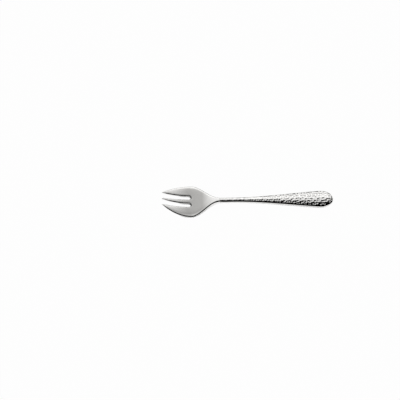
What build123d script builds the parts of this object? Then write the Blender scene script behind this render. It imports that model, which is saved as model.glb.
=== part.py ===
from build123d import *
from math import asin, cos, pi, radians, sin, sqrt, tan
import os

# An oyster fork with a hollow, hammered handle.
# The fork lies face up: X runs from the tine tips to the palm end, Y across, Z up.
# Everything below is in millimetres.

# Lengths along the fork
HEAD_FRONT = 24.8
HEAD_SHOULDER = 24.2
HANDLE_LENGTH = 96.0
NECK_STRAIGHT = 11.2
PALM_ROUND = 12.3
PALM_REST = 10.5

# Widths across the fork
TIP_SPREAD = 11.6
HEAD_WIDTH = 28.8
NECK_WIDTH = 4.5
PALM_WIDTH = 15.4

# Thicknesses
TIP_THICKNESS = 1.1
HEAD_THICKNESS = 2.1
NECK_THICKNESS = 3.6
PALM_THICKNESS = 5.4

# How far the tines and the neck rise above the lowest point of the head
TINE_RISE = 7.4
NECK_RISE = 2.1

# Roundness of the edges, as the edge radius over the half thickness
HEAD_ROUNDNESS = 0.75
NECK_ROUNDNESS = 0.80
PALM_ROUNDNESS = 0.42

# Share of a full ellipse at which the palm end is blunted
NOSE_SHARE = 0.993

# The two slots between the three tines
SLOT_LENGTH = 24.9
SLOT_WIDTH = 2.9
SLOT_SPACING = 6.9
MIDDLE_TIP_WIDTH = 1.4
OUTER_TIP_WIDTH = 0.55
TINE_FLARE = 5.0
MIDDLE_TIP_ROUND = 0.5
OUTER_TIP_ROUND = 0.3

# The handle's shells, their solder and the tang inside them
SHELL_WALL = 0.6
SOLDER_GAP = 0.1
TANG_LENGTH = 45.0
TANG_CLEARANCE = 0.15
TANG_TIP_SHARE = 0.7
FILLER_SETBACK = 24.0
BED_CLEARANCE = 0.05

# Steps between the sections of each loft, and the turn between sections round the palm end
FRONT_STEPS = 10
SHOULDER_STEPS = 12
GRIP_STEPS = 26
TANG_STEPS = 3
SEAM_STEPS = 6
NOSE_TURN = 10

# How far cutting shapes reach past what they cut
OVERRUN = 1.0

# Places along X, with the middle of the overall length at zero
OVERALL_LENGTH = HEAD_FRONT + HEAD_SHOULDER + HANDLE_LENGTH
TIP_X = -OVERALL_LENGTH / 2
WIDEST_X = TIP_X + HEAD_FRONT
JOINT_X = WIDEST_X + HEAD_SHOULDER
NECK_END_X = JOINT_X + NECK_STRAIGHT
END_X = OVERALL_LENGTH / 2
ROUND_X = END_X - PALM_ROUND
REST_X = END_X - PALM_REST
TANG_END_X = JOINT_X + TANG_LENGTH
FILLER_X = JOINT_X + FILLER_SETBACK
LEAD_X = JOINT_X - OVERRUN
MOUTH_X = JOINT_X + SOLDER_GAP

# Heights of the middle line at the head's lowest point, the neck and the palm
HEAD_Z = HEAD_THICKNESS / 2
NECK_Z = HEAD_Z + NECK_RISE
PALM_Z = PALM_THICKNESS / 2


def ease(share):
    """Smooth step from 0 to 1, flat at both ends."""
    share = min(max(share, 0.0), 1.0)
    return share * share * (3 - 2 * share)


def blend(start, end, share):
    """Value between start and end."""
    return start + (end - start) * share


def spine(x):
    """Height of the fork's middle line: it dips at the head and falls along the handle."""
    if x < WIDEST_X:
        return HEAD_Z + TINE_RISE * ((WIDEST_X - x) / HEAD_FRONT) ** 2
    if x < JOINT_X:
        return blend(HEAD_Z, NECK_Z, ease((x - WIDEST_X) / HEAD_SHOULDER))
    return NECK_Z - (NECK_Z - PALM_Z) * ((x - JOINT_X) / (REST_X - JOINT_X)) ** 2


def across(x, z):
    """Plane that cuts the fork at x, with its middle at height z."""
    return Plane(origin=(x, 0, z), x_dir=(0, 1, 0), z_dir=(1, 0, 0))


def oval(x, z, half_width, half_height, edge_radius):
    """Face across the fork at x: two wide crown arcs and two tight edge arcs, all tangent.

    Each arc is drawn as one cubic curve, so that the lofts through these faces stay light.
    """
    reach = half_width - edge_radius
    drop = half_height - edge_radius
    crown_radius = (reach**2 + half_height**2 - edge_radius**2) / (2 * drop)
    meet_y = reach * crown_radius / (crown_radius - edge_radius)
    meet_z = (crown_radius - half_height) * edge_radius / (crown_radius - edge_radius)
    lean = asin(meet_y / crown_radius)
    crown_pull = 4 / 3 * tan(lean / 2) * crown_radius
    edge_pull = 4 / 3 * tan((pi / 2 - lean) / 2) * edge_radius
    crown_y = meet_y - crown_pull * cos(lean)
    crown_z = meet_z + crown_pull * sin(lean)
    edge_y = meet_y + edge_pull * cos(lean)
    edge_z = meet_z - edge_pull * sin(lean)
    top = Bezier((-meet_y, meet_z), (-crown_y, crown_z), (crown_y, crown_z), (meet_y, meet_z))
    right = Bezier((meet_y, meet_z), (edge_y, edge_z), (edge_y, -edge_z), (meet_y, -meet_z))
    bottom = Bezier((meet_y, -meet_z), (crown_y, -crown_z), (-crown_y, -crown_z), (-meet_y, -meet_z))
    left = Bezier((-meet_y, -meet_z), (-edge_y, -edge_z), (-edge_y, edge_z), (-meet_y, meet_z))
    return across(x, z) * make_face([top, right, bottom, left])


def lens(x, z, half_width, half_height):
    """Face across the fork at x: two crown arcs that meet in a crease at either side."""
    top = ThreePointArc((-half_width, 0), (0, half_height), (half_width, 0))
    bottom = ThreePointArc((half_width, 0), (0, -half_height), (-half_width, 0))
    return across(x, z) * make_face([top, bottom])


def head_section(x):
    """Section of the head: a thin plate at the tines that gathers into the neck."""
    if x < WIDEST_X:
        share = (x - TIP_X) / HEAD_FRONT
        half_width = HEAD_WIDTH / 2 - (HEAD_WIDTH - TIP_SPREAD) / 2 * (1 - share) ** 2
        half_height = blend(TIP_THICKNESS, HEAD_THICKNESS, 1 - (1 - share) ** 2) / 2
        roundness = HEAD_ROUNDNESS
    else:
        share = ease((x - WIDEST_X) / HEAD_SHOULDER)
        half_width = blend(HEAD_WIDTH, NECK_WIDTH, share) / 2
        half_height = blend(HEAD_THICKNESS, NECK_THICKNESS, share) / 2
        roundness = blend(HEAD_ROUNDNESS, NECK_ROUNDNESS, share)
    return oval(x, spine(x), half_width, half_height, roundness * half_height)


def handle_section(x, inset=0.0):
    """Section of the handle at x, or of its cavity when drawn in, shrinking to the rounded palm end.

    The outside is an oval. The cavity is a lens, since the stamped halves meet in a crease inside.
    """
    run = max(x - NECK_END_X, 0.0) / (REST_X - NECK_END_X)
    swell = run * run * (2 - run)
    share = ease(run)
    past = NOSE_SHARE * max(x - ROUND_X, 0.0) / (PALM_ROUND - inset)
    closing = sqrt(1 - past**2)
    half_width = (blend(NECK_WIDTH, PALM_WIDTH, swell) / 2 - inset) * closing
    half_height = (blend(NECK_THICKNESS, PALM_THICKNESS, share) / 2 - inset) * closing
    if inset:
        return lens(x, spine(x), half_width, half_height)
    roundness = blend(NECK_ROUNDNESS, PALM_ROUNDNESS, share)
    return oval(x, spine(x), half_width, half_height, roundness * half_height)


def handle_body(inset=0.0):
    """Solid handle, or its cavity when drawn in, from just before the joint to the palm end."""
    end_x = END_X - inset
    grip = [blend(LEAD_X, ROUND_X, i / GRIP_STEPS) for i in range(GRIP_STEPS + 1)]
    turns = range(NOSE_TURN, 90 + NOSE_TURN, NOSE_TURN)
    nose = [blend(ROUND_X, end_x, sin(radians(turn))) for turn in turns]
    return loft([handle_section(x, inset) for x in grip + nose], ruled=True)


def tang_body(start_x, end_x, grow=0.0):
    """Tang along the middle line: the neck's bore at its root, slimmer at its tip."""
    inset = SHELL_WALL + TANG_CLEARANCE
    faces = []
    for i in range(TANG_STEPS + 1):
        x = blend(start_x, end_x, i / TANG_STEPS)
        slim = blend(1.0, TANG_TIP_SHARE, min(max((x - JOINT_X) / TANG_LENGTH, 0.0), 1.0))
        half_width = (NECK_WIDTH / 2 - inset) * slim + grow
        half_height = (NECK_THICKNESS / 2 - inset) * slim + grow
        faces.append(lens(x, spine(x), half_width, half_height))
    return loft(faces, ruled=True)


def seam_slab(start_x, low, high):
    """Everything past start_x between two heights measured from the handle's middle line."""
    reach = PALM_WIDTH
    end_x = END_X + OVERRUN
    stations = [blend(start_x, end_x, i / SEAM_STEPS) for i in range(SEAM_STEPS + 1)]
    under = Spline([(x, -reach, spine(x) + low) for x in stations])
    over = Spline([(x, -reach, spine(x) + high) for x in stations])
    front = Line(under @ 0, over @ 0)
    back = Line(under @ 1, over @ 1)
    side = make_face([under, back, over, front])
    return extrude(side, amount=2 * reach, dir=(0, 1, 0))


def slot_tool(side):
    """Slot on one side of the middle tine, open past the tips, for cutting through the head."""
    root_x = TIP_X + SLOT_LENGTH - SLOT_WIDTH / 2
    inner_y = (SLOT_SPACING - SLOT_WIDTH) / 2
    outer_y = (SLOT_SPACING + SLOT_WIDTH) / 2
    inner_tip_y = MIDDLE_TIP_WIDTH / 2
    outer_tip_y = TIP_SPREAD / 2 - OUTER_TIP_WIDTH
    flare_x = TIP_X + TINE_FLARE
    inner_end_x = TIP_X + MIDDLE_TIP_ROUND
    outer_end_x = TIP_X + OUTER_TIP_ROUND
    inner_end_y = inner_tip_y - MIDDLE_TIP_ROUND
    outer_end_y = outer_tip_y + OUTER_TIP_ROUND
    inner_tip = (inner_end_x, side * inner_tip_y)
    outer_tip = (outer_end_x, side * outer_tip_y)
    inner_end = (TIP_X, side * inner_end_y)
    outer_end = (TIP_X, side * outer_end_y)
    inner = TangentArc((root_x, side * inner_y), inner_tip, tangent=(-1, 0))
    root = ThreePointArc(
        (root_x, side * inner_y),
        (root_x + SLOT_WIDTH / 2, side * SLOT_SPACING / 2),
        (root_x, side * outer_y),
    )
    outer = Line((root_x, side * outer_y), (flare_x, side * outer_y))
    flare = TangentArc((flare_x, side * outer_y), outer_tip, tangent=(-1, 0))
    outer_nose = RadiusArc(outer_tip, outer_end, side * OUTER_TIP_ROUND)
    inner_nose = RadiusArc(inner_end, inner_tip, side * MIDDLE_TIP_ROUND)
    mouth = Polyline(
        outer_end,
        (TIP_X - OVERRUN, side * outer_end_y),
        (TIP_X - OVERRUN, side * inner_end_y),
        inner_end,
    )
    face = make_face([inner, root, outer, flare, outer_nose, mouth, inner_nose])
    depth = 4 * (HEAD_THICKNESS + TINE_RISE)
    return Pos(0, 0, -depth / 2) * extrude(face, amount=depth, dir=(0, 0, 1))


# Fork head: one plate lofted from the tips to the neck
front_stations = [blend(TIP_X, WIDEST_X, i / FRONT_STEPS) for i in range(FRONT_STEPS + 1)]
shoulder_stations = [blend(WIDEST_X, JOINT_X, i / SHOULDER_STEPS) for i in range(1, SHOULDER_STEPS + 1)]
blank = loft([head_section(x) for x in front_stations + shoulder_stations], ruled=True)
head = blank - slot_tool(1) - slot_tool(-1)

# The tang is one with the head and runs on into the handle
head = head + tang_body(LEAD_X, TANG_END_X)

# Hollow handle: the outer body less the cavity
hollow = handle_body() - handle_body(SHELL_WALL)

# It is trimmed at the mouth and parted at its middle line: two shells and the solder between
half_gap = SOLDER_GAP / 2
clear = 2 * PALM_THICKNESS
top_shell = hollow & seam_slab(MOUTH_X, half_gap, clear)
bottom_shell = hollow & seam_slab(MOUTH_X, -clear, -half_gap)
seam_solder = hollow & seam_slab(MOUTH_X, -half_gap, half_gap)

# Solder ring between the head's shoulder and the mouth of the shells
ring = extrude(handle_section(JOINT_X), amount=SOLDER_GAP, dir=(1, 0, 0))
neck_ring = ring - extrude(handle_section(JOINT_X, SHELL_WALL), amount=SOLDER_GAP, dir=(1, 0, 0))

# Resin bed around the far end of the tang
filler = handle_body(SHELL_WALL + BED_CLEARANCE) & seam_slab(FILLER_X, -clear, clear)
filler = filler - tang_body(FILLER_X - OVERRUN, TANG_END_X + BED_CLEARANCE, BED_CLEARANCE)

os.makedirs("parts", exist_ok=True)
export_step(head, "parts/fork_head.step")
export_step(top_shell, "parts/handle_top_shell.step")
export_step(bottom_shell, "parts/handle_bottom_shell.step")
export_step(seam_solder, "parts/side_seam_solder.step")
export_step(neck_ring, "parts/neck_solder_ring.step")
export_step(filler, "parts/handle_filler.step")
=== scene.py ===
# %% [markdown]
# An oyster fork, dressed on its CAD frame.
# The solids give every size and place. This lesson gives the two visible metals their real surfaces:
# a satin head with soft, rounded tines, and a handle covered in small hammer dents.
# Each surface is a formula on a grid, so that a reader can change one number and see what it does.

import bmesh
import bpy
import numpy as np
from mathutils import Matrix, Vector


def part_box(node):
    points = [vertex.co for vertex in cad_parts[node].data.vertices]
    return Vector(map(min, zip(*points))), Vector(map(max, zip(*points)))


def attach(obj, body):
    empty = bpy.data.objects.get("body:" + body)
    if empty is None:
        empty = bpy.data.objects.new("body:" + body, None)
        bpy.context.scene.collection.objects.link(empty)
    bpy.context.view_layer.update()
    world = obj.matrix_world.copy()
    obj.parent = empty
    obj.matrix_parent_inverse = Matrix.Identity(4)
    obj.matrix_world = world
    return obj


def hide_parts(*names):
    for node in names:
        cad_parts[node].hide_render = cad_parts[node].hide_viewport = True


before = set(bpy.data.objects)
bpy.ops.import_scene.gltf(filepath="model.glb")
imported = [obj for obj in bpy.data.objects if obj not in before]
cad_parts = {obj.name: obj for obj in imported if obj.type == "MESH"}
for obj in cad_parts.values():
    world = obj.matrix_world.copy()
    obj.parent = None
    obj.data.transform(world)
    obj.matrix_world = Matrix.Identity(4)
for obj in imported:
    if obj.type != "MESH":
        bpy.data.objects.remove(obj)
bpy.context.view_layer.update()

# %% [markdown]
# The fork's main sizes can be read off the frame: the ring of solder at the neck marks where the head
# ends and the handle begins, and its box is the neck's own width and thickness.
# Sizes could all be typed in again, but a size that is read can't disagree with the solids.
# Those that no box shows, such as where the palm starts to round, are written once here, in metres.

# %% Sizes from the frame
MM = 0.001
ring_low, ring_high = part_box("neck_solder_ring")
head_low, head_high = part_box("fork_head")
shell_low, shell_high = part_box("handle_top_shell")
TIP_X = head_low.x
JOINT_X = ring_low.x
MOUTH_X = shell_low.x
END_X = shell_high.x
HEAD_HALF = head_high.y
NECK_HALF = ring_high.y
NECK_HALF_HEIGHT = (ring_high.z - ring_low.z) / 2
NECK_Z = (ring_high.z + ring_low.z) / 2
HEAD_FRONT = 24.8 * MM
NECK_STRAIGHT = 11.2 * MM
PALM_ROUND = 12.3 * MM
PALM_REST = 10.5 * MM
PALM_HALF = 7.7 * MM
PALM_HALF_HEIGHT = 2.7 * MM
TIP_SPREAD_HALF = 5.8 * MM
TIP_HALF_HEIGHT = 0.55 * MM
HEAD_HALF_HEIGHT = 1.05 * MM
TINE_RISE = 7.4 * MM
WIDEST_X = TIP_X + HEAD_FRONT
NECK_END_X = JOINT_X + NECK_STRAIGHT
ROUND_X = END_X - PALM_ROUND
REST_X = END_X - PALM_REST
print("fork runs from", round(TIP_X, 4), "to", round(END_X, 4), "with its joint at", round(JOINT_X, 4))

# %% [markdown]
# Seen from the side, a fork is one curved line with some thickness. The tines curve up along a parabola,
# the shoulder climbs to the neck on a smooth step, and the handle sinks slowly to its palm.
# Seen from above it is one width that changes along the length. A curve object drawn by hand could do
# the same, but writing both as functions of x keeps the head and the handle in one flow.

# %% Curves along the fork


def ease(share):
    """Smooth step: three times the square less twice the cube, held between 0 and 1."""
    share = np.clip(share, 0.0, 1.0)
    return share * share * (3 - 2 * share)


def blend(start, end, share):
    """Straight mix of start and end."""
    return start + (end - start) * share


def front_share(x):
    """Parabola that is 0 at the widest place and 1 at the tips."""
    return ((WIDEST_X - x) / HEAD_FRONT) ** 2


def shoulder_share(x):
    """Smooth step that is 0 at the widest place and 1 at the joint."""
    return ease((x - WIDEST_X) / (JOINT_X - WIDEST_X))


def spine(x):
    """Middle height: a parabola at the tines, a smooth step at the shoulder, a slow parabola after it."""
    front = HEAD_HALF_HEIGHT + TINE_RISE * front_share(x)
    shoulder = blend(HEAD_HALF_HEIGHT, NECK_Z, shoulder_share(x))
    handle = NECK_Z - (NECK_Z - PALM_HALF_HEIGHT) * ((x - JOINT_X) / (REST_X - JOINT_X)) ** 2
    return np.where(x < WIDEST_X, front, np.where(x < JOINT_X, shoulder, handle))


def head_half_width(x):
    """Half the head's width: a parabola from tips to widest place, then a smooth step to the neck."""
    front = HEAD_HALF - (HEAD_HALF - TIP_SPREAD_HALF) * front_share(x)
    return np.where(x < WIDEST_X, front, blend(HEAD_HALF, NECK_HALF, shoulder_share(x)))


def head_half_height(x):
    """Half the head's thickness: a parabola up from the thin tips, then a smooth step to the neck's."""
    front = blend(HEAD_HALF_HEIGHT, TIP_HALF_HEIGHT, front_share(x))
    return np.where(x < WIDEST_X, front, blend(HEAD_HALF_HEIGHT, NECK_HALF_HEIGHT, shoulder_share(x)))


places = np.array([TIP_X, WIDEST_X, JOINT_X, END_X])
print("middle height at tips, widest place, joint and end, in mm", np.round(spine(places) / MM, 2))

# %% [markdown]
# Every new piece is put into Blender the same way: arrays of points and of four-cornered faces go in,
# points that fall on each other are merged, and the faces are shaded smooth.
# Blender's operators could join pieces too, but they depend on what is selected, and this doesn't.
# Merging is what closes the seams, because neighbouring grids share their edge points.
# Numbers that belong to a point, such as how deep its dent is, are kept on the mesh as attributes.

# %% A helper that turns grids into one mesh
MERGE_DISTANCE = 2e-7


def grid_faces(rows, columns, first):
    """Corner numbers of the quads of a rows by columns grid whose points start at number first."""
    number = first + np.arange(rows * columns).reshape(rows, columns)
    corners = (number[:-1, :-1], number[1:, :-1], number[1:, 1:], number[:-1, 1:])
    return np.stack(corners, axis=-1).reshape(-1, 4)


def piece_from_grids(name, layers):
    """One closed mesh from pairs of a grid of points and its named grids of values, kept as attributes."""
    faces = []
    first = 0
    for grid, _ in layers:
        faces.append(grid_faces(grid.shape[0], grid.shape[1], first))
        first += grid.shape[0] * grid.shape[1]
    points = np.concatenate([grid.reshape(-1, 3) for grid, _ in layers])
    mesh = bpy.data.meshes.new(name)
    mesh.from_pydata(points.tolist(), [], np.concatenate(faces).tolist())
    for label in layers[0][1]:
        values = np.concatenate([named[label].ravel() for _, named in layers])
        kept = mesh.attributes.new(label, "FLOAT", "POINT")
        kept.data.foreach_set("value", values.astype(np.float32))
    work = bmesh.new()
    work.from_mesh(mesh)
    bmesh.ops.remove_doubles(work, verts=work.verts, dist=MERGE_DISTANCE)
    bmesh.ops.recalc_face_normals(work, faces=work.faces)
    work.to_mesh(mesh)
    work.free()
    mesh.polygons.foreach_set("use_smooth", np.ones(len(mesh.polygons), dtype=bool))
    piece = bpy.data.objects.new(name, mesh)
    bpy.context.scene.collection.objects.link(piece)
    print(name, len(mesh.vertices), "points", len(mesh.polygons), "faces")
    return piece


print("a grid of 3 by 4 points has", len(grid_faces(3, 4, 0)), "faces")

# %% [markdown]
# The head is a plate with two long slots. A boolean could cut them, but it leaves ragged faces, and a
# plain grid can't have holes. So the plate is laid out as three strips, one for each tine.
# Along the slots the strips stand apart, and past the slot roots they touch and share their points.
# The middle tine narrows to a rounded point, and the outer tines' inner sides run straight and flare
# out near their tips. The roots lie a little short of the solid's, which sets where their painted shade
# falls.

# %% Slots between the tines
SLOT_LENGTH = 24.5 * MM
SLOT_RADIUS = 1.45 * MM
SLOT_Y = 3.45 * MM
MIDDLE_TIP_HALF = 0.7 * MM
MIDDLE_TIP_ROUND = 0.5 * MM
OUTER_TIP_WIDTH = 0.55 * MM
OUTER_TIP_ROUND = 0.3 * MM
OUTER_NOSE_SHARE = 0.9
TINE_FLARE = 5.0 * MM
ROOT_X = TIP_X + SLOT_LENGTH
ROOT_CENTRE_X = ROOT_X - SLOT_RADIUS


def root_half_gap(x):
    """Half the slot's opening in its rounded root: half a circle, nothing past the root."""
    across = np.clip((x - ROOT_CENTRE_X) / SLOT_RADIUS, 0.0, 1.0)
    return SLOT_RADIUS * np.sqrt(1 - across**2)


def round_nose(x, radius):
    """How far a quarter circle of this radius has drawn a side in, near the tip."""
    back = np.clip((TIP_X + radius - x) / radius, 0.0, 1.0)
    return radius * (1 - np.sqrt(1 - back**2))


def middle_edge(x):
    """Half width of the middle tine: a parabola to its tip with a round nose, a half circle at the root."""
    run = (ROOT_CENTRE_X - x) / (ROOT_CENTRE_X - TIP_X - MIDDLE_TIP_ROUND)
    side = SLOT_Y - SLOT_RADIUS - (SLOT_Y - SLOT_RADIUS - MIDDLE_TIP_HALF) * np.clip(run, 0, 1) ** 2
    root = SLOT_Y - root_half_gap(x)
    plate = SLOT_Y * head_half_width(x) / head_half_width(np.array(ROOT_X))
    tine = side - round_nose(x, MIDDLE_TIP_ROUND)
    return np.where(x < ROOT_CENTRE_X, tine, np.where(x < ROOT_X, root, plate))


def outer_edge(x):
    """Inner side of an outer tine: straight, flaring near its tip to a small round nose."""
    straight = SLOT_Y + SLOT_RADIUS
    flare = TIP_SPREAD_HALF - OUTER_TIP_WIDTH - straight
    run = np.clip((TIP_X + TINE_FLARE - x) / (TINE_FLARE - OUTER_TIP_ROUND), 0.0, 1.0)
    side = straight + flare * run**2 + round_nose(x, OUTER_TIP_ROUND) * OUTER_NOSE_SHARE
    root = SLOT_Y + root_half_gap(x)
    return np.where(x < ROOT_CENTRE_X, side, np.where(x < ROOT_X, root, middle_edge(x)))


def slot_distance(x, y):
    """Distance from a point of the plate to the nearest slot, with its round root counted as a circle."""
    inner = middle_edge(x)
    beside = np.where(np.abs(y) <= inner, inner - np.abs(y), np.abs(y) - outer_edge(x))
    round_root = np.hypot(x - ROOT_CENTRE_X, np.abs(y) - SLOT_Y) - SLOT_RADIUS
    return np.maximum(np.where(x < ROOT_CENTRE_X, beside, round_root), 0.0)


print("slot roots at", round(ROOT_X, 4))

# %% [markdown]
# A polished tine has no sharp edge: its face tilts gently towards the side and then rolls over it.
# A Bevel modifier could round the rim of a flat plate, but it would not give the gentle tilt.
# Here the half thickness is the plate's own, times a parabola for the tilt and a quarter of an ellipse
# for the roll, so the upper and lower grids meet in a round edge with no separate wall.
# The roll is widest along the shoulder, where it takes up most of the rim, and thins the tips to points.
# Two masks come out as well: flat says where the belt sands, and root where the slot roots get painted
# shade.

# %% Thickness of the head
EDGE_ROLL = 1.0 * MM
SLOT_ROLL = 0.9 * MM
TIP_ROLL = 1.1 * MM
NECK_ROLL_SHARE = 0.75
SHOULDER_ROLL = 1.1 * MM
ROLL_SHARE = 0.28
EDGE_CROWN = 6.0 * MM
EDGE_DROP = 0.52
SLOT_CROWN = 2.2 * MM
SLOT_DROP = 0.22
CROWN_SHARE = 0.55
ROOT_SHADE = 0.95 * MM


def roll(distance, reach):
    """Quarter of an ellipse: 0 at the edge, 1 from reach inwards."""
    near = np.clip(distance / reach, 0.0, 1.0)
    return np.sqrt(1 - (1 - near) ** 2)


def crown(distance, reach, drop):
    """Parabola that falls by drop between reach and the edge, so the face tilts before it rolls over."""
    near = np.clip(distance / reach, 0.0, 1.0)
    return 1 - drop * (1 - near) ** 2


def edge_roll_width(narrow, neck):
    """Width of the outer roll: a share of a narrow tine, most of the neck, a hump along the shoulder."""
    plate = np.minimum(EDGE_ROLL, ROLL_SHARE * narrow)
    hump = SHOULDER_ROLL * 4 * neck * (1 - neck)
    return blend(plate, NECK_ROLL_SHARE * NECK_HALF, neck**2) + hump


def head_profile(x, y, strip_width):
    """Share of the full thickness at a point, rolls times crowns, with the masks flat and root."""
    neck = shoulder_share(x)
    narrow = np.where(x < ROOT_X, strip_width, HEAD_HALF)
    edge = head_half_width(x) - np.abs(y)
    slot = slot_distance(x, y)
    slot_roll = np.minimum(SLOT_ROLL, ROLL_SHARE * narrow)
    edge_roll = edge_roll_width(narrow, neck)
    rolled = roll(edge, edge_roll) * roll(slot, slot_roll) * roll(x - TIP_X, TIP_ROLL)
    edge_reach = np.minimum(EDGE_CROWN, CROWN_SHARE * narrow)
    slot_reach = np.minimum(SLOT_CROWN, CROWN_SHARE * narrow)
    edge_drop = EDGE_DROP * edge_reach / EDGE_CROWN * (1 - neck)
    slot_drop = SLOT_DROP * slot_reach / SLOT_CROWN
    crowned = crown(edge, edge_reach, edge_drop) * crown(slot, slot_reach, slot_drop)
    flat = ease(edge / edge_reach) * ease(slot / slot_reach)
    # root: mask for the painted shade deep in the slot roots.
    root = ease(2 - 2 * slot / ROOT_SHADE) * ease((x - ROOT_CENTRE_X) / SLOT_RADIUS)
    return rolled * crowned, {"flat": flat, "root": root}


middle_share, _ = head_profile(np.array(WIDEST_X), np.array(0.0), np.array(SLOT_Y))
print("share of the full thickness in the middle, behind the slots", round(float(middle_share), 3))

# %% [markdown]
# A grid shows a curve only as well as its rows are placed. Even rows would waste points on the plain
# shoulder and starve the tips and the slot roots, so there the rows follow a circle's angle.
# Each strip gets an upper and a lower grid, and the neck end is closed by a single point.

# %% Grids of one strip
TURN_POINTS = 14
TINE_POINTS = 64
BEYOND_POINTS = 14
BEYOND_ROOT = 2 * MM
SHOULDER_POINTS = 60


def head_stations():
    """Places along the head: by a circle's angle at the tips and the slot roots, even elsewhere."""
    turn = np.linspace(0.0, np.pi / 2, TURN_POINTS)
    tips = TIP_X + TIP_ROLL * (1 - np.cos(turn))
    tines = np.linspace(tips[-1], ROOT_CENTRE_X, TINE_POINTS)[1:]
    roots = ROOT_CENTRE_X + SLOT_RADIUS * np.sin(turn)[1:]
    beyond = np.linspace(ROOT_X, ROOT_X + BEYOND_ROOT, BEYOND_POINTS)[1:]
    shoulder = np.linspace(beyond[-1], JOINT_X, SHOULDER_POINTS)[1:]
    return np.concatenate([tips, tines, roots, beyond, shoulder])


def strip_grids(low, high, columns):
    """Upper and lower grid of the strip between the curves low and high, each with its masks.

    Columns crowd towards both sides by a cosine, and the last row is one point at the neck.
    """
    x = head_stations()
    across = 0.5 * (1 - np.cos(np.linspace(0.0, np.pi, columns)))
    strip_width = (high(x) - low(x))[:, None]
    y = low(x)[:, None] + strip_width * across[None, :]
    along = np.broadcast_to(x[:, None], y.shape)
    share, masks = head_profile(along, y, strip_width)
    half = head_half_height(along) * share
    upper = np.stack([along, y, spine(along) + half], axis=-1)
    lower = np.stack([along, y, spine(along) - half], axis=-1)
    pole = np.broadcast_to(np.array([JOINT_X, 0.0, NECK_Z]), (1, columns, 3))
    masks = {label: np.concatenate([mask, mask[-1:]]) for label, mask in masks.items()}
    turned = {label: mask[:, ::-1] for label, mask in masks.items()}
    return (np.concatenate([upper, pole]), masks), (np.concatenate([lower, pole])[:, ::-1], turned)


print("rows along the head", len(head_stations()))

# %% [markdown]
# Now the three strips become one head. On the real fork it is one forging, so it is one closed mesh.
# A copy of the solid with a Subdivision modifier could be softened instead, but it would pull the tips
# in. The new mesh takes the place of the plain solid, rides on the same body and names its finish.

# %% Build the head
OUTER_COLUMNS = 40
MIDDLE_COLUMNS = 30
left_tine = strip_grids(outer_edge, head_half_width, OUTER_COLUMNS)
middle_tine = strip_grids(lambda x: -middle_edge(x), middle_edge, MIDDLE_COLUMNS)
right_tine = strip_grids(lambda x: -head_half_width(x), lambda x: -outer_edge(x), OUTER_COLUMNS)
satin_head = piece_from_grids("satin_head", [*left_tine, *middle_tine, *right_tine])
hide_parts("fork_head")
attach(satin_head, "root")

# %% [markdown]
# The handle is hammered all over. A round-faced hammer leaves shallow dishes that overlap, with low
# ridges where two meet. A bump texture could hint at them, but their edge would stay smooth in
# outline, so they are real geometry. If every blow has the same ball, the surface at a point is the
# square of the distance to the nearest blow over twice the ball's radius. The blows are a grid of
# points, each one shaken out of place, so only the nine nearest have to be tried.

# %% Hammer dents
DENT_SPACING = 2.0 * MM
HAMMER_BALL = 2.2 * MM
DENT_DEPTH = 0.25 * MM
SHAKE_LOW = 0.2
SHAKE_HIGH = 0.8
BLOW_GRID = 128
FAR_BLOW = 9.0


def dent_height(along, girth, seed):
    """Depth below the ridges, never above 0.

    It is the squared distance to the nearest blow over twice the ball's radius, less the full depth.
    """
    shake = np.random.default_rng(seed)
    jitter = shake.uniform(SHAKE_LOW, SHAKE_HIGH, (BLOW_GRID, BLOW_GRID, 2))
    u = along / DENT_SPACING
    v = girth / DENT_SPACING
    cell_u = np.floor(u).astype(int)
    cell_v = np.floor(v).astype(int)
    nearest = np.full(u.shape, FAR_BLOW)
    for step_u in (-1, 0, 1):
        for step_v in (-1, 0, 1):
            spot = jitter[(cell_u + step_u) % BLOW_GRID, (cell_v + step_v) % BLOW_GRID]
            gap_u = cell_u + step_u + spot[..., 0] - u
            gap_v = cell_v + step_v + spot[..., 1] - v
            nearest = np.minimum(nearest, gap_u**2 + gap_v**2)
    rise = nearest * DENT_SPACING**2 / (2 * HAMMER_BALL)
    return np.minimum(rise, DENT_DEPTH) - DENT_DEPTH


print("dents are", DENT_SPACING / MM, "mm apart and at most", DENT_DEPTH / MM, "mm deep")

# %% [markdown]
# The smith does not strike evenly. The blows are light at the neck and full along the grip, and a plain
# rim is left beside the seam, because a blow there would open the joint. At the very end of the palm
# they stop, so that the grid can close in a point. The strength could be painted on as weights, but
# smooth steps along the fork and away from the seam follow its sizes by themselves.

# %% Strength of the blows
PLAIN_RIM = 1.2 * MM
SEAM_FADE = 1.9 * MM
HAMMER_START = 5.0 * MM
HAMMER_FULL = 52.0 * MM
LIGHT_BLOW = 0.3
PALM_FADE = 0.4 * MM


def blow_strength(along, from_seam):
    """Share of a full blow: product of smooth steps up from rim and mouth and down at the palm."""
    fade = ease((from_seam - PLAIN_RIM) / SEAM_FADE) * ease((along - MOUTH_X) / HAMMER_START)
    blow = blend(LIGHT_BLOW, 1.0, ease((along - MOUTH_X) / HAMMER_FULL))
    return fade * blow * ease((END_X - along) / PALM_FADE)


mid_grip = blow_strength(np.array((MOUTH_X + END_X) / 2), np.array(PALM_HALF))
print("share of a full blow in the middle of the grip", round(float(mid_grip), 3))

# %% [markdown]
# Across, the handle is an oval of four arcs: wide crowns above and below, tight arcs at the sides.
# A scaled circle would be simpler, but its sides would be too sharp for a stamped shell.
# A point of the oval is found from the direction of its normal, which makes the dents easy: they are
# pushed in along that same normal. Near the mouth its sides are tighter, to meet the head.

# %% Oval sections of the handle
PALM_ROUNDNESS = 0.42
NECK_ROUNDNESS = 0.80
MOUTH_ROUNDNESS = 0.55
GRIP_POINTS = 440
PALM_POINTS = 56
LAST_TURN = 0.985 * np.pi / 2


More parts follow.
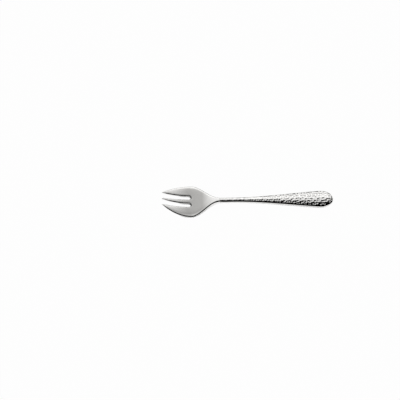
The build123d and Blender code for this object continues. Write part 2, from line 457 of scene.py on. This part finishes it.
def handle_sizes(x):
    """Half width by a cubic swell, half height by a smooth step, edge radius as a share of the height.

    At the palm a quarter of an ellipse draws all three together.
    """
    run = np.clip(x - NECK_END_X, 0.0, None) / (REST_X - NECK_END_X)
    swell = run * run * (2 - run)
    half_width = blend(NECK_HALF, PALM_HALF, swell)
    half_height = blend(NECK_HALF_HEIGHT, PALM_HALF_HEIGHT, ease(run))
    neck = blend(MOUTH_ROUNDNESS, NECK_ROUNDNESS, ease((x - MOUTH_X) / NECK_STRAIGHT))
    edge_radius = blend(neck, PALM_ROUNDNESS, ease(run)) * half_height
    past = np.clip((x - ROUND_X) / PALM_ROUND, 0.0, 1.0)
    closing = np.sqrt(1 - past**2)
    return half_width * closing, half_height * closing, edge_radius * closing


def handle_stations():
    """Places along the handle: even along the grip, by angle round the palm's ellipse."""
    grip = np.linspace(MOUTH_X, ROUND_X, GRIP_POINTS)
    palm = ROUND_X + PALM_ROUND * np.sin(np.linspace(0.0, LAST_TURN, PALM_POINTS))
    return np.concatenate([grip, palm[1:]])


def oval_arcs(half_width, half_height, edge_radius):
    """Crown radius, angle of the normal where edge and crown meet, and length of the half oval.

    The edge's circle touches the crown's from inside, so the right triangle between their centres gives
    the crown radius. Each arc is as long as its radius times its angle.
    """
    reach = half_width - edge_radius
    crown_radius = (reach**2 + half_height**2 - edge_radius**2) / (2 * (half_height - edge_radius))
    turn = np.arctan2(crown_radius - half_height, reach)
    length = 2 * edge_radius * turn + crown_radius * (np.pi - 2 * turn)
    return crown_radius, turn, length


def normal_angle(travel, length, turn, edge_radius, crown_radius):
    """Angle of the normal after a way along the half oval: on each arc, the way over the arc's radius."""
    edge_run = edge_radius * turn
    rising = travel / edge_radius
    falling = np.pi - (length - travel) / edge_radius
    over_crown = turn + (travel - edge_run) / crown_radius
    return np.where(travel < edge_run, rising, np.where(travel > length - edge_run, falling, over_crown))


print("rows along the handle", len(handle_stations()))

# %% [markdown]
# Each half of the handle is stamped from sheet, and only its outer face is seen. It could be a shell
# with walls, but a closed half that runs over the crown and back along the seam is simpler, and nobody
# sees inside. Both ends are drawn to a point, and a gap as fine as a hair is left for the solder.

# %% Grid of one half
HALF_COLUMNS = 96
SEAM_POINTS = 10
SEAM_HALF_GAP = 0.05 * MM
MARGIN_SHARE = 0.02
PALM_POINT_SHARE = 0.1


def close_half(outer, dent, side):
    """Closed grid of a half: straight rows back along the seam, and one point at either end."""
    back = np.linspace(0.0, 1.0, SEAM_POINTS)[None, 1:, None]
    seam = outer[:, -1:, :] + (outer[:, :1, :] - outer[:, -1:, :]) * back
    loop = np.concatenate([outer, seam], axis=1)
    mouth_z, palm_z = spine(np.array([MOUTH_X, END_X]))
    mouth = np.array([MOUTH_X, 0.0, mouth_z + side * SEAM_HALF_GAP])
    palm = np.array([END_X, 0.0, palm_z + side * SEAM_HALF_GAP * PALM_POINT_SHARE])
    first = np.broadcast_to(mouth, (1, loop.shape[1], 3))
    last = np.broadcast_to(palm, (1, loop.shape[1], 3))
    depths = np.zeros((loop.shape[0] + 2, loop.shape[1]))
    depths[1:-1, : dent.shape[1]] = -dent / DENT_DEPTH
    return np.concatenate([first, loop, last]), {"dent": depths}


def half_handle(side, seed):
    """Grid of one half with its dent depths: centre of each arc plus radius and dent along the normal."""
    x = handle_stations()[:, None]
    half_width, half_height, edge_radius = handle_sizes(x)
    crown_radius, turn, length = oval_arcs(half_width, half_height, edge_radius)
    margin = np.minimum(SEAM_HALF_GAP, MARGIN_SHARE * length)
    travel = margin + (length - 2 * margin) * np.linspace(0.0, 1.0, HALF_COLUMNS)[None, :]
    angle = normal_angle(travel, length, turn, edge_radius, crown_radius)
    on_edge = (angle < turn) | (angle > np.pi - turn)
    reach = half_width - edge_radius
    centre_y = np.where(on_edge, reach * np.sign(np.pi / 2 - angle), 0.0)
    centre_z = np.where(on_edge, 0.0, half_height - crown_radius)
    along = np.broadcast_to(x, angle.shape)
    strength = blow_strength(along, np.minimum(travel, length - travel))
    dent = dent_height(along, travel - length / 2, seed) * strength
    radius = np.where(on_edge, edge_radius, crown_radius) + dent
    y = centre_y + radius * np.cos(angle)
    z = centre_z + radius * np.sin(angle)
    outer = np.stack([along, y, spine(along) + side * z], axis=-1)
    return close_half(outer, dent, side)


print("columns round one half", HALF_COLUMNS + SEAM_POINTS - 1, "of which the last closes on the first")

# %% [markdown]
# The same formula makes both halves. A Mirror modifier could copy the upper one, but both would then
# carry the same blows. So the lower one has its heights turned over and a seed of its own, and the two
# have different dents, as two hammered sheets would.

# %% Build the two halves
TOP_SEED = 11
BOTTOM_SEED = 12
for name, node, side, seed in (
    ("hammered_top", "handle_top_shell", 1, TOP_SEED),
    ("hammered_bottom", "handle_bottom_shell", -1, BOTTOM_SEED),
):
    half = piece_from_grids(name, [half_handle(side, seed)])
    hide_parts(node)
    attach(half, "root")

# %% [markdown]
# Satin steel is brushed with a fine belt, so it carries hair lines along the fork. They are too fine to
# model, so they are a noise stretched along x. All the finishes here drift a little as well, which is a
# second, broad noise. More than one material needs them, so they are a node group with its own inputs.

# %% Hair lines as a node group
LINE_STRETCH = (0.03, 1.0, 1.0)
LINE_DETAIL = 3.0
CLOUD_DETAIL = 2.0


def hair_lines_group():
    """Node group: stretched noise from 0 to 1 for hair lines, and a broad cloudiness from 0 to 1."""
    group = bpy.data.node_groups.new("hair_lines", "ShaderNodeTree")
    for label in ("Fineness", "Cloud Size"):
        group.interface.new_socket(label, in_out="INPUT", socket_type="NodeSocketFloat")
    for label in ("Lines", "Clouds"):
        group.interface.new_socket(label, in_out="OUTPUT", socket_type="NodeSocketFloat")
    nodes = group.nodes
    links = group.links
    entry = nodes.new("NodeGroupInput")
    leave = nodes.new("NodeGroupOutput")
    place = nodes.new("ShaderNodeTexCoord")
    stretch = nodes.new("ShaderNodeVectorMath")
    stretch.operation = "MULTIPLY"
    stretch.inputs[1].default_value = LINE_STRETCH
    lines = nodes.new("ShaderNodeTexNoise")
    lines.inputs["Detail"].default_value = LINE_DETAIL
    clouds = nodes.new("ShaderNodeTexNoise")
    clouds.inputs["Detail"].default_value = CLOUD_DETAIL
    links.new(place.outputs["Object"], stretch.inputs[0])
    links.new(stretch.outputs[0], lines.inputs["Vector"])
    links.new(place.outputs["Object"], clouds.inputs["Vector"])
    links.new(entry.outputs["Fineness"], lines.inputs["Scale"])
    links.new(entry.outputs["Cloud Size"], clouds.inputs["Scale"])
    links.new(lines.outputs["Fac"], leave.inputs["Lines"])
    links.new(clouds.outputs["Fac"], leave.inputs["Clouds"])
    return group


HAIR_LINES = hair_lines_group()
print("node group", HAIR_LINES.name, "with", len(HAIR_LINES.nodes), "nodes")

# %% [markdown]
# Materials in Blender are trees of small nodes. Written out one by one they hide what they do, so a few
# helpers each place one kind of node, link it and hand back the socket that comes out of it.
# The first four start a material and read what it is to follow: the noise, the mesh and the place.

# %% Helpers that start a material


def new_material(name):
    """Node material with a metallic Principled shader, returned with its node tree and the shader."""
    material = bpy.data.materials.new(name)
    material.use_nodes = True
    tree = material.node_tree
    shader = tree.nodes["Principled BSDF"]
    shader.inputs["Metallic"].default_value = 1.0
    return material, tree, shader


def hair_lines(tree, fineness, cloud_size):
    """Hair line group with its two sizes; returns the node."""
    node = tree.nodes.new("ShaderNodeGroup")
    node.node_tree = HAIR_LINES
    node.inputs["Fineness"].default_value = fineness
    node.inputs["Cloud Size"].default_value = cloud_size
    return node


def attribute(tree, label):
    """Value of a point attribute of the mesh, as a socket."""
    node = tree.nodes.new("ShaderNodeAttribute")
    node.attribute_name = label
    return node.outputs["Fac"]


def along_fork(tree):
    """Place along the fork, the object's own x, as a socket."""
    place = tree.nodes.new("ShaderNodeTexCoord")
    where = tree.nodes.new("ShaderNodeSeparateXYZ")
    tree.links.new(place.outputs["Object"], where.inputs[0])
    return where.outputs["X"]


for helper in (new_material, hair_lines, attribute, along_fork):
    print("helper", helper.__name__, "-", helper.__doc__)

# %% [markdown]
# The next four work on what was read. A ramp turns one range into another, a sum or product joins two
# masks, a mix chooses between two colours, and a bump tilts the light without moving any point.

# %% Helpers that shape and mix


def map_range(tree, source, low, high, to_low, to_high):
    """Map Range node fed from a socket; returns its output socket."""
    node = tree.nodes.new("ShaderNodeMapRange")
    node.inputs["From Min"].default_value = low
    node.inputs["From Max"].default_value = high
    node.inputs["To Min"].default_value = to_low
    node.inputs["To Max"].default_value = to_high
    tree.links.new(source, node.inputs["Value"])
    return node.outputs["Result"]


def math_node(tree, operation, first, second):
    """Math node on two sockets; returns its output socket."""
    node = tree.nodes.new("ShaderNodeMath")
    node.operation = operation
    tree.links.new(first, node.inputs[0])
    tree.links.new(second, node.inputs[1])
    return node.outputs[0]


def colour_mix(tree, factor, start, end):
    """Mix of two colours by a factor socket, where start may be a socket too; returns its output socket."""
    node = tree.nodes.new("ShaderNodeMix")
    node.data_type = "RGBA"
    if isinstance(start, tuple):
        node.inputs["A"].default_value = start
    else:
        tree.links.new(start, node.inputs["A"])
    node.inputs["B"].default_value = end
    tree.links.new(factor, node.inputs["Factor"])
    return node.outputs["Result"]


def fine_bump(tree, shader, height, strength, distance):
    """Bump node from a height socket into the shader's normal."""
    bump = tree.nodes.new("ShaderNodeBump")
    bump.inputs["Strength"].default_value = strength
    bump.inputs["Distance"].default_value = distance
    tree.links.new(height, bump.inputs["Height"])
    tree.links.new(bump.outputs["Normal"], shader.inputs["Normal"])


for helper in (map_range, math_node, colour_mix, fine_bump):
    print("helper", helper.__name__, "-", helper.__doc__)

# %% [markdown]
# The head's flats are satin. Its rolled edges, the tips and the neck are where the buffing wheel goes
# over last, so they are polished and brighter. Deep in the slot roots the colour turns near black, as a
# painted shade. The flat and root masks on the mesh tell these places apart, which keeps the
# finish where it belongs from every side. A painted texture could do it too, but not at every scale.

# %% Satin steel
SATIN = (0.485, 0.48, 0.4675, 1.0)
POLISHED = (0.90, 0.895, 0.88, 1.0)
# Near black, for the painted shade deep in the slot roots.
ROOT_PAINTED_SHADE = (0.008, 0.008, 0.008, 1.0)
FLAT_ENOUGH = 0.45
TIP_SATIN = 0.15
TIP_POLISH = 21.5 * MM
POLISH_START = JOINT_X - 15 * MM
POLISH_FULL = JOINT_X - 5 * MM
BELT_FINENESS = 5200.0
BELT_CLOUDS = 90.0
POLISHED_ROUGH = (0.10, 0.18)
SATIN_ROUGHER = 0.28
BELT_BUMP = (0.12, 0.02 * MM)
LINE_LOW = 0.25
LINE_HIGH = 0.75


def satin_steel():
    """Steel for the head: satin on the flats, polished on edges, tips and neck, painted shade in the slot
    roots.
    """
    material, tree, shader = new_material("satin_steel")
    hair = hair_lines(tree, BELT_FINENESS, BELT_CLOUDS)
    x = along_fork(tree)
    face = map_range(tree, attribute(tree, "flat"), 0.0, FLAT_ENOUGH, 0.0, 1.0)
    plate = map_range(tree, x, POLISH_START, POLISH_FULL, 1.0, 0.0)
    tips = map_range(tree, x, TIP_X, TIP_X + TIP_POLISH, TIP_SATIN, 1.0)
    satin = math_node(tree, "MULTIPLY", math_node(tree, "MULTIPLY", face, plate), tips)
    steel = colour_mix(tree, satin, POLISHED, SATIN)
    # Painted shade: the root mask mixes in near black, deep in the slot roots.
    metal = colour_mix(tree, attribute(tree, "root"), steel, ROOT_PAINTED_SHADE)
    tree.links.new(metal, shader.inputs["Base Color"])
    lines = map_range(tree, hair.outputs["Lines"], LINE_LOW, LINE_HIGH, *POLISHED_ROUGH)
    rough = math_node(tree, "ADD", map_range(tree, satin, 0.0, 1.0, 0.0, SATIN_ROUGHER), lines)
    tree.links.new(rough, shader.inputs["Roughness"])
    fine_bump(tree, shader, hair.outputs["Lines"], *BELT_BUMP)
    return material


SATIN_STEEL = satin_steel()
print(SATIN_STEEL.name, "has", len(SATIN_STEEL.node_tree.nodes), "nodes")

# %% [markdown]
# The hammered handle is polished after the hammering. Its colour is lightest on the ridges and a little
# darker towards the bottoms of the dents. Towards the neck, where the wheel runs out, the polish is softer.
# The depth of each dent was kept on the mesh as an attribute, so the material can follow it exactly,
# which no noise texture could.

# %% Hammered steel
HAMMERED_RIDGE = (0.84, 0.833, 0.818, 1.0)
HAMMERED_DENT = (0.72, 0.713, 0.698, 1.0)
WHEEL_FINENESS = 2600.0
WHEEL_CLOUDS = 400.0
WHEEL_ROUGH = (0.05, 0.09)
WHEEL_BUMP = (0.15, 0.03 * MM)
SOFT_NECK = 55 * MM
SOFT_ROUGHER = 0.10
CLOUD_LOW = 0.3
CLOUD_HIGH = 0.7


def hammered_steel():
    """Polished steel for the shells: bright on the ridges, darker in the dents, softer near the neck."""
    material, tree, shader = new_material("hammered_steel")
    hair = hair_lines(tree, WHEEL_FINENESS, WHEEL_CLOUDS)
    steel = colour_mix(tree, attribute(tree, "dent"), HAMMERED_RIDGE, HAMMERED_DENT)
    tree.links.new(steel, shader.inputs["Base Color"])
    haze = map_range(tree, hair.outputs["Clouds"], CLOUD_LOW, CLOUD_HIGH, *WHEEL_ROUGH)
    soft = map_range(tree, along_fork(tree), JOINT_X, JOINT_X + SOFT_NECK, SOFT_ROUGHER, 0.0)
    tree.links.new(math_node(tree, "ADD", haze, soft), shader.inputs["Roughness"])
    fine_bump(tree, shader, hair.outputs["Clouds"], *WHEEL_BUMP)
    return material


HAMMERED_STEEL = hammered_steel()
print(HAMMERED_STEEL.name, "has", len(HAMMERED_STEEL.node_tree.nodes), "nodes")

# %% [markdown]
# Two finishes are hardly seen: the hard solder, a line as fine as a hair along the seam and at the neck,
# and the resin that fills the handle. A plain colour would do from afar, but a soft drift in colour and
# roughness keeps them from looking like plastic when the fork is taken apart.

# %% Solder and resin
SOLDER_LIGHT = (0.72, 0.71, 0.68, 1.0)
SOLDER_DARK = (0.55, 0.54, 0.51, 1.0)
SOLDER_ROUGH = (0.25, 0.35)
RESIN_LIGHT = (0.45, 0.40, 0.33, 1.0)
RESIN_DARK = (0.36, 0.31, 0.25, 1.0)
RESIN_ROUGH = (0.6, 0.8)
CAST_FINENESS = 1500.0
CAST_CLOUDS = 300.0


def clouded(name, dark, light, metallic, rough):
    """Finish whose colour and roughness drift with a soft noise."""
    material, tree, shader = new_material(name)
    shader.inputs["Metallic"].default_value = metallic
    clouds = hair_lines(tree, CAST_FINENESS, CAST_CLOUDS).outputs["Clouds"]
    tree.links.new(colour_mix(tree, clouds, dark, light), shader.inputs["Base Color"])
    tree.links.new(map_range(tree, clouds, CLOUD_LOW, CLOUD_HIGH, *rough), shader.inputs["Roughness"])
    return material


HARD_SOLDER = clouded("hard_solder", SOLDER_DARK, SOLDER_LIGHT, 1.0, SOLDER_ROUGH)
RESIN_CEMENT = clouded("resin_cement", RESIN_DARK, RESIN_LIGHT, 0.0, RESIN_ROUGH)
print("made", HARD_SOLDER.name, "and", RESIN_CEMENT.name)

# %% [markdown]
# A material does nothing until a mesh has it in its list. Faces could be given different entries, but
# each real piece here is one metal or one resin all over, so its list is emptied and gets one entry.

# %% Put the finishes on


def dress(piece, material):
    """Puts one material on a piece in place of what it had."""
    piece.data.materials.clear()
    piece.data.materials.append(material)
    print(piece.name, "is", material.name)


dress(satin_head, SATIN_STEEL)
dress(bpy.data.objects["hammered_top"], HAMMERED_STEEL)
dress(bpy.data.objects["hammered_bottom"], HAMMERED_STEEL)
dress(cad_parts["side_seam_solder"], HARD_SOLDER)
dress(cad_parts["neck_solder_ring"], HARD_SOLDER)
dress(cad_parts["handle_filler"], RESIN_CEMENT)

# %% [markdown]
# The fork lies on a white table that melts into the background. Lamps strong enough to make a table
# white would burn out the metal, so the floor glows by itself, for the camera and for reflections.
# Close to the fork, where little sky is seen, the glow gives way to a matte grey: that is the contact
# shadow, found with an Ambient Occlusion node.

# %% Floor
FLOOR_HALF = 2.0
FLOOR_DROP = 0.05 * MM
FLOOR_WHITE = 0.985
FLOOR_GREY = (0.16, 0.16, 0.16, 1.0)
CONTACT_REACH = 2.6 * MM
CONTACT_CLOSED = 0.41
CONTACT_OPEN = 0.49


def floor_white():
    """Floor material: its own white where the floor is open, matte grey in the contact shadow."""
    material = bpy.data.materials.new("floor_white")
    material.use_nodes = True
    tree = material.node_tree
    tree.nodes.clear()
    leave = tree.nodes.new("ShaderNodeOutputMaterial")
    matte = tree.nodes.new("ShaderNodeBsdfDiffuse")
    matte.inputs["Color"].default_value = FLOOR_GREY
    glow = tree.nodes.new("ShaderNodeEmission")
    glow.inputs["Strength"].default_value = 1.0
    path = tree.nodes.new("ShaderNodeLightPath").outputs
    nearby = tree.nodes.new("ShaderNodeAmbientOcclusion")
    nearby.inputs["Distance"].default_value = CONTACT_REACH
    open_floor = map_range(tree, nearby.outputs["AO"], CONTACT_CLOSED, CONTACT_OPEN, 0.0, FLOOR_WHITE)
    mirrored = math_node(tree, "MAXIMUM", path["Is Glossy Ray"], path["Is Transmission Ray"])
    shown = math_node(tree, "MAXIMUM", path["Is Camera Ray"], mirrored)
    mix = tree.nodes.new("ShaderNodeMixShader")
    tree.links.new(math_node(tree, "MULTIPLY", shown, open_floor), mix.inputs["Fac"])
    tree.links.new(matte.outputs[0], mix.inputs[1])
    tree.links.new(glow.outputs[0], mix.inputs[2])
    tree.links.new(mix.outputs[0], leave.inputs["Surface"])
    return material


def white_floor():
    """Square floor a hair below the fork, so that no two faces lie in one plane."""
    mesh = bpy.data.meshes.new("floor")
    square = ((-1, -1), (1, -1), (1, 1), (-1, 1))
    mesh.from_pydata([(x * FLOOR_HALF, y * FLOOR_HALF, 0.0) for x, y in square], [], [(0, 1, 2, 3)])
    mesh.materials.append(floor_white())
    floor = bpy.data.objects.new("floor", mesh)
    floor.location = (0.0, 0.0, -FLOOR_DROP)
    bpy.context.scene.collection.objects.link(floor)
    return floor


print("floor is", 2 * FLOOR_HALF, "m wide at", white_floor().location.z)

# %% [markdown]
# Polished metal shows its surroundings, so the room is half of the finish. Behind and above the fork
# the room is one even, bright wall, and in front it is dark. That is why the far side of the handle is
# bright and the near side dark. Low down the wall is dim too, which draws thin dark lines along the
# rims. Low windows in the front right and back left corners keep the fork from being black when it is
# seen from behind. A picture of a studio could light it as well, but ramps can be read and changed.

# %% Room
BACK_WAY = (-0.55, 1.0, 0.0)
BACK_RAMP = (-0.18, 0.15, 0.0, 1.0)
CEILING_RAMP = (0.45, 0.95, 1.30, 0.84)
HORIZON_RAMP = (0.20, 0.44, 0.03, 1.0)
WINDOW_SIDES = (-0.42, -0.32, 1.0, 0.0)
WINDOW_TOP = (0.42, 0.55, 1.0, 0.0)


def studio_world():
    """World whose strength is back times ceiling times horizon, or the windows' where that is more.

    Each ramp gives from low, from high, to low and to high. Windows lie where x times y is lowest.
    """
    world = bpy.data.worlds.new("studio")
    bpy.context.scene.world = world
    world.use_nodes = True
    tree = world.node_tree
    shade = tree.nodes["Background"]
    way = tree.nodes.new("ShaderNodeTexCoord").outputs["Generated"]
    parts = tree.nodes.new("ShaderNodeSeparateXYZ")
    tree.links.new(way, parts.inputs[0])
    behind = tree.nodes.new("ShaderNodeVectorMath")
    behind.operation = "DOT_PRODUCT"
    behind.inputs[1].default_value = BACK_WAY
    tree.links.new(way, behind.inputs[0])
    height = parts.outputs["Z"]
    ceiling = map_range(tree, height, *CEILING_RAMP)
    wall = math_node(tree, "MULTIPLY", ceiling, map_range(tree, height, *HORIZON_RAMP))
    room = math_node(tree, "MULTIPLY", wall, map_range(tree, behind.outputs["Value"], *BACK_RAMP))
    corner = math_node(tree, "MULTIPLY", parts.outputs["X"], parts.outputs["Y"])
    sides = map_range(tree, corner, *WINDOW_SIDES)
    window = math_node(tree, "MULTIPLY", sides, map_range(tree, height, *WINDOW_TOP))
    tree.links.new(math_node(tree, "MAXIMUM", room, window), shade.inputs["Strength"])
    shade.inputs["Color"].default_value = (1.0, 1.0, 1.0, 1.0)
    return world


print("world", studio_world().name, "lights the scene")

# %% [markdown]
# One soft lamp behind the fork adds a faint highlight from a real place, as a softbox in a studio does.
# More lamps could be set round it, but the room already gives most of the light, so one weak one will do.

# %% Lamp
LAMP_PLACE = (0.0, 0.75, 0.7)
LAMP_SIZE = (1.2, 0.5)
LAMP_ENERGY = 0.4


def soft_lamp(name, place, aim, size, energy):
    """Rectangular soft light at place, turned to face aim."""
    data = bpy.data.lights.new(name, "AREA")
    data.shape = "RECTANGLE"
    data.size = size[0]
    data.size_y = size[1]
    data.energy = energy
    lamp = bpy.data.objects.new(name, data)
    bpy.context.scene.collection.objects.link(lamp)
    lamp.location = place
    lamp.rotation_euler = (Vector(aim) - Vector(place)).to_track_quat("-Z", "Y").to_euler()
    return lamp


back_softbox = soft_lamp("back_softbox", LAMP_PLACE, (0.0, 0.0, 0.0), LAMP_SIZE, LAMP_ENERGY)
print(back_softbox.name, "at", tuple(round(v, 2) for v in back_softbox.location))

# %% [markdown]
# The camera stands in front of the fork and looks steeply down, with a long lens, so the fork hardly
# narrows with distance. The picture shows about 339 mm of table, and the fork lies right of its middle.
# It could be placed by eye, but angles and a width can be checked. The lens follows from two of these
# numbers, the distance and the width of the picture.

# %% Camera
FRAME_WIDTH = 338.8 * MM
CAMERA_DISTANCE = 1.1
CAMERA_ELEVATION = np.radians(64.0)
CAMERA_AZIMUTH = np.radians(-0.94)
AIM = (-40.3 * MM, 0.6 * MM, 3.0 * MM)
SENSOR_WIDTH = 36.0


def photo_camera():
    """Camera at the photo's height and distance, aimed at the middle of its picture."""
    data = bpy.data.cameras.new("camera")
    data.sensor_width = SENSOR_WIDTH
    data.lens = SENSOR_WIDTH * CAMERA_DISTANCE / FRAME_WIDTH
    camera = bpy.data.objects.new("camera", data)
    bpy.context.scene.collection.objects.link(camera)
    level = np.cos(CAMERA_ELEVATION)
    side = np.sin(CAMERA_AZIMUTH) * level
    front = -np.cos(CAMERA_AZIMUTH) * level
    way = Vector((side, front, np.sin(CAMERA_ELEVATION)))
    camera.location = Vector(AIM) + way * CAMERA_DISTANCE
    camera.rotation_euler = (-way).to_track_quat("-Z", "Y").to_euler()
    bpy.context.scene.camera = camera
    return camera


print("camera lens", round(photo_camera().data.lens, 1), "mm")
bpy.context.scene.view_settings.view_transform = "Standard"

# %% [markdown]
# A dressed part must stay as big as its solids.
